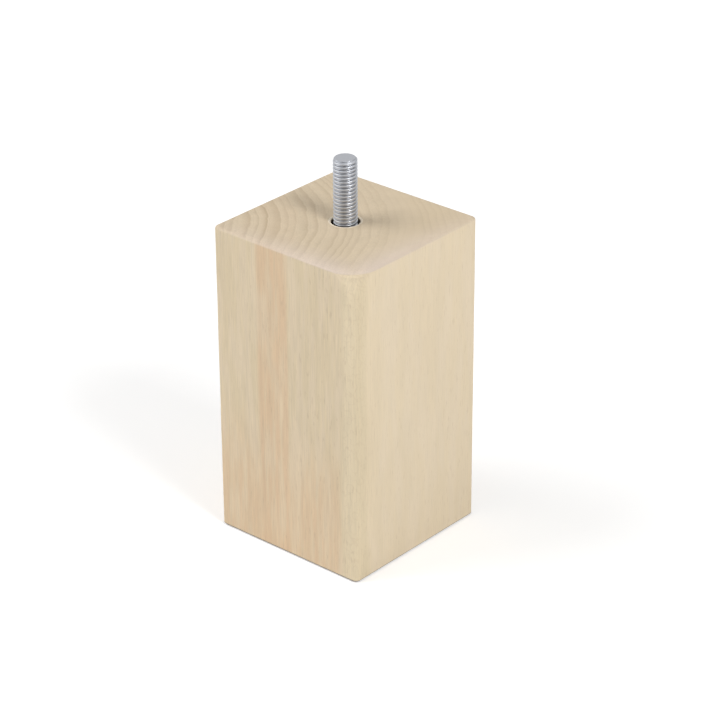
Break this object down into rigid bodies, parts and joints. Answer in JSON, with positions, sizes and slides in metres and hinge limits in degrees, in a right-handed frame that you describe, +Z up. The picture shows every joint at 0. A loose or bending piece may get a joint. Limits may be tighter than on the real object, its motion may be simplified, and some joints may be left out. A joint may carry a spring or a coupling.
{
  "type": "wooden bed leg",
  "caption": "Square beech bed leg with eased edges, standing on its foot, with a steel hanger bolt standing out of its drilled top end.",
  "frame": {"origin": "middle of the foot, on the floor", "axes": "+Z up along the hanger bolt, towards the bed; X and Y along the block's sides"},
  "size_m": [0.06, 0.06, 0.132],
  "materials": {
    "beech": "planed and sanded, unfinished",
    "zinc_steel": "bright zinc plate on a rolled thread"
  },
  "bodies": {
    "root": {"leg_block": "beech", "hanger_bolt": "zinc_steel"}
  },
  "joints": []
}
